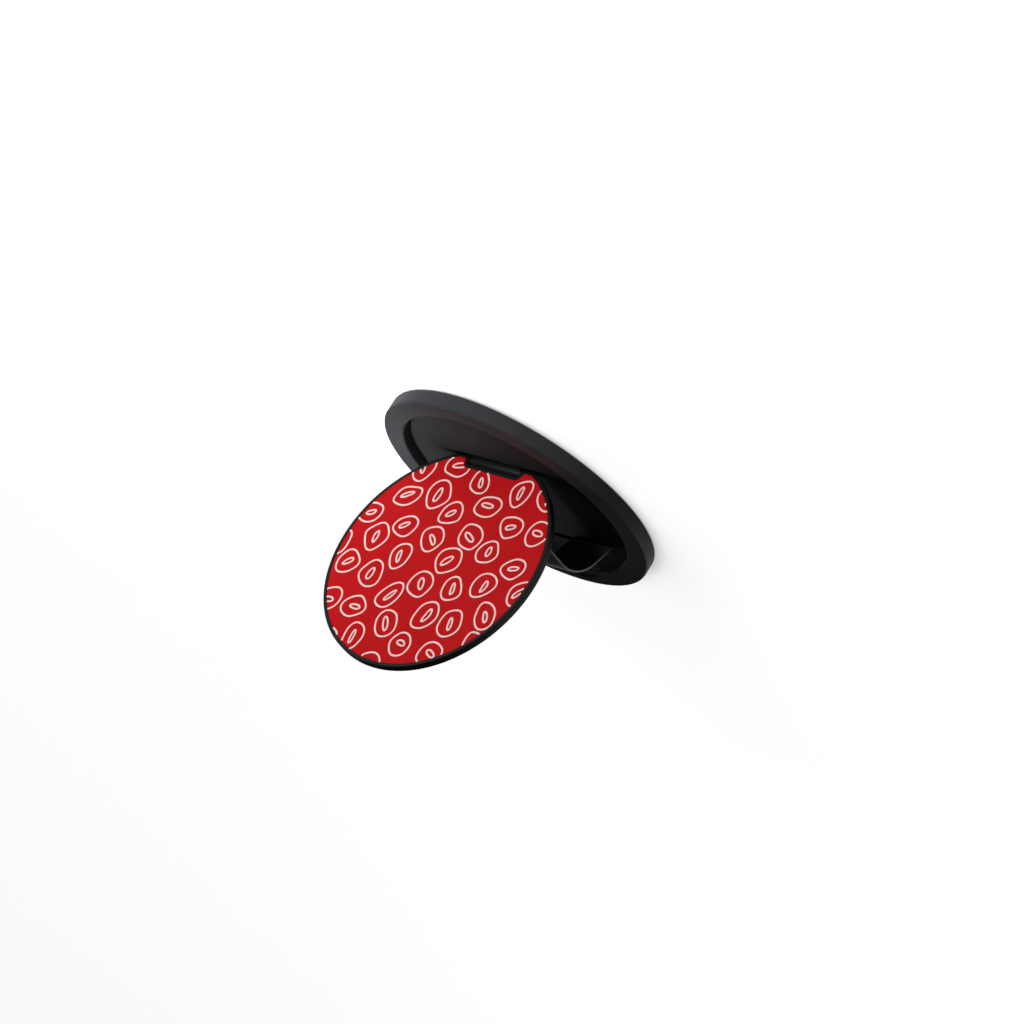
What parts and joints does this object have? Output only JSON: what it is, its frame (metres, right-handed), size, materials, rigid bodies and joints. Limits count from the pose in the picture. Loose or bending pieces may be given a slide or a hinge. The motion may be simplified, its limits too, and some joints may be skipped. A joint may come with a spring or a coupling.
{
  "type": "magnetic phone grip",
  "caption": "Round magnetic phone grip: a printed disc on a sliding hinge stands up from the base as a kickstand, with a flexible strap as a finger loop.",
  "frame": {"origin": "centre of the magnetic face that lies on the phone's back, in the plane of that face", "axes": "+Z points out of the phone's back through the recess, X runs along the hinge pin, and the upright disc's printed face looks along +Y"},
  "size_m": [0.056, 0.056, 0.0464],
  "materials": {
    "base_plastic": "fine satin moulded black",
    "tray_metal": "black anodised, bead blasted",
    "pad_rubber": "soft matt silicone",
    "magnet_plating": "bright nickel plate",
    "spring_steel": "plain cold rolled",
    "strap_rubber": "smooth satin black, cut edges lighter",
    "slider_plastic": "satin black acetal",
    "rivet_steel": "blackened",
    "pin_steel": "ground bright",
    "washer_brass": "plain bronze",
    "clamp_steel": "satin black coat",
    "disc_plastic": "satin moulded black",
    "print_sheet": "red printed sheet with pale line motifs, low gloss"
  },
  "bodies": {
    "base": {"base_ring": "base_plastic", "slide_tray": "tray_metal", "back_cover": "base_plastic", "grip_pad": "pad_rubber", "ring_magnets": "magnet_plating", "shield_ring": "spring_steel", "strap": "strap_rubber"},
    "slider": {"hinge_slider": "slider_plastic", "slide_shoe": "slider_plastic", "shoe_rivets": "rivet_steel"},
    "disc": {"disc_plate": "disc_plastic", "steel_core": "spring_steel", "print_panel": "print_sheet", "hinge_pin": "pin_steel", "hinge_washers": "washer_brass", "strap_clamp_right": "clamp_steel", "strap_clamp_left": "clamp_steel", "clamp_rivets": "rivet_steel"}
  },
  "joints": [
    {"name": "hinge_slide", "type": "slide", "parent": "base", "child": "slider", "axis": [0, 1, 0], "range_m": [0, 0.01325]},
    {"name": "disc_fold", "type": "hinge", "parent": "slider", "child": "disc", "pos_m": [0, 0.00755, 0.0022], "axis": [1, 0, 0], "range_deg": [0, 90], "deforming": ["strap"]}
  ],
  "couplings": [
    {"joint": "hinge_slide", "follows": "disc_fold", "m_per_rad": 0.0084352}
  ]
}
